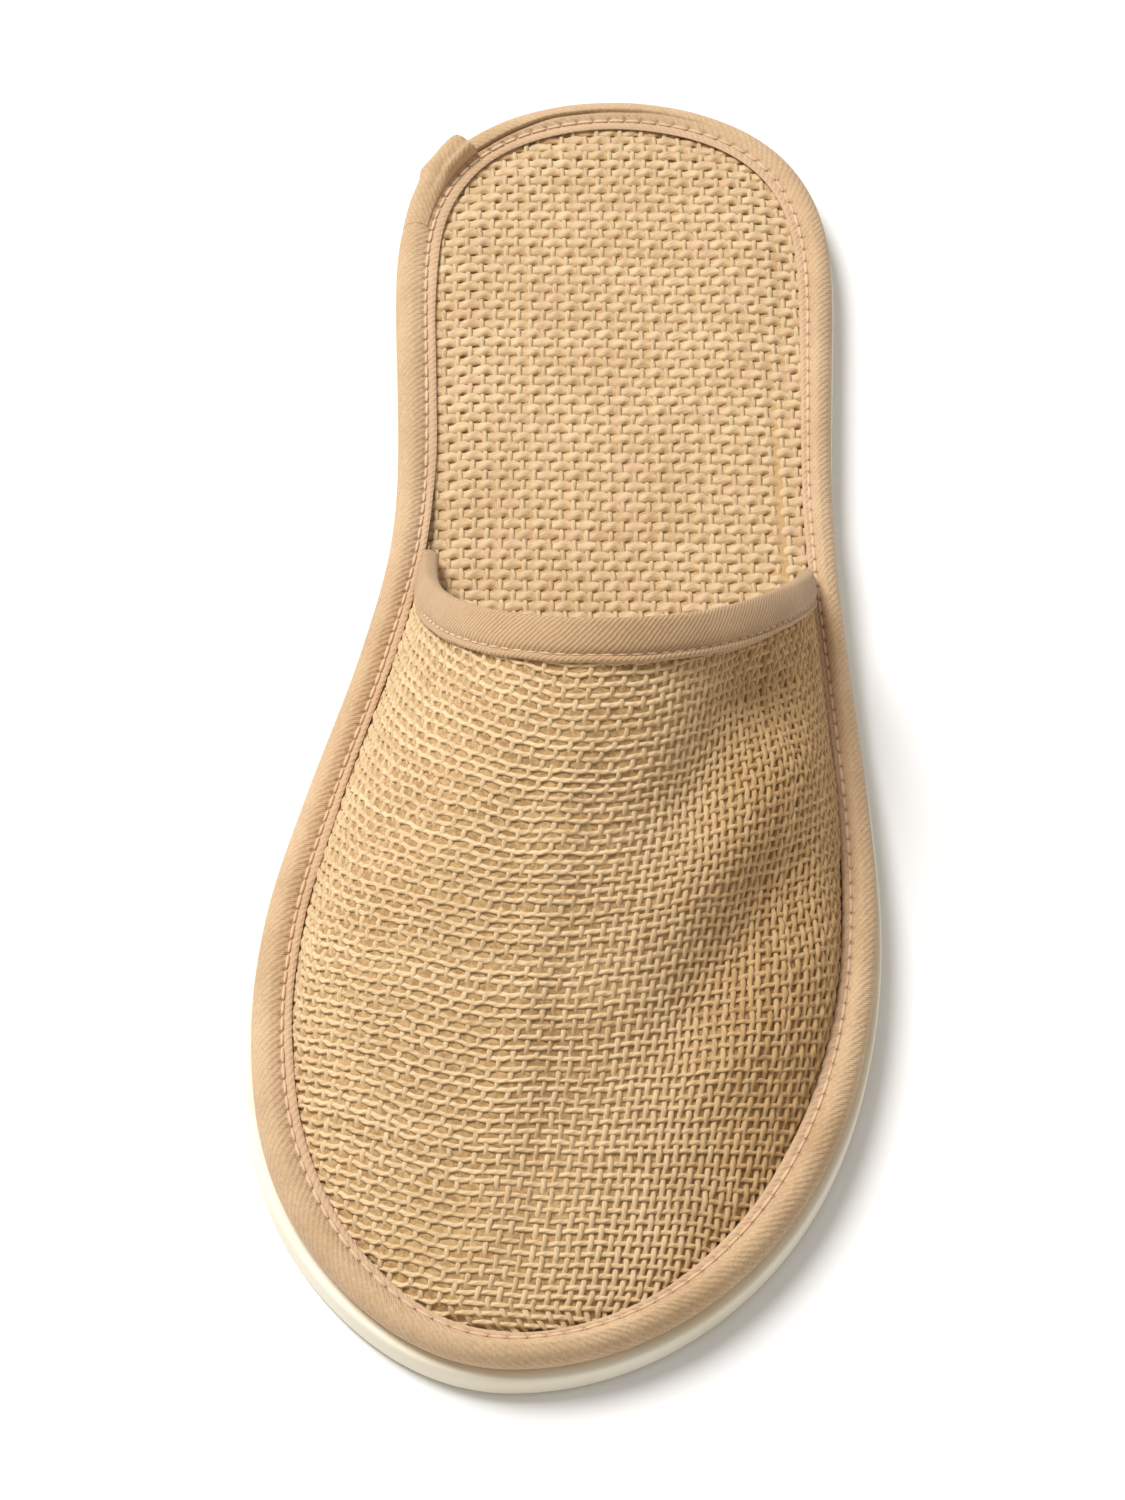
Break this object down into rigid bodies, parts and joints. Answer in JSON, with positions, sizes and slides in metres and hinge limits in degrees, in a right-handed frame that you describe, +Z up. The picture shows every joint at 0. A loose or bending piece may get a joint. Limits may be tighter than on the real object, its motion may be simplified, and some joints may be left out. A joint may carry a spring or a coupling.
{
  "type": "slipper",
  "caption": "Closed-toe slip-on house slipper for the left foot: coarse woven vamp over the forefoot, woven insole, tape-bound edges and a thin flat cream sole.",
  "frame": {"origin": "on the floor under the middle of the slipper's outline", "axes": "+Z up; -Y towards the toe and +Y towards the heel; +X towards the outer side of the left foot"},
  "size_m": [0.1074, 0.2826, 0.0523],
  "materials": {
    "sole_foam": "smooth cream foam with a soft sheen",
    "insole_weave": "tight plain weave of thick natural yarn",
    "vamp_weave": "open plain weave of natural yarn over a tan backing",
    "edge_tape": "fine twill tape, peach beige",
    "throat_tape": "fine twill tape, taupe beige"
  },
  "bodies": {
    "root": {"outsole": "sole_foam", "insole": "insole_weave", "upper": "vamp_weave", "edge_binding": "edge_tape", "throat_binding": "throat_tape", "binding_tail": "edge_tape"}
  },
  "joints": []
}
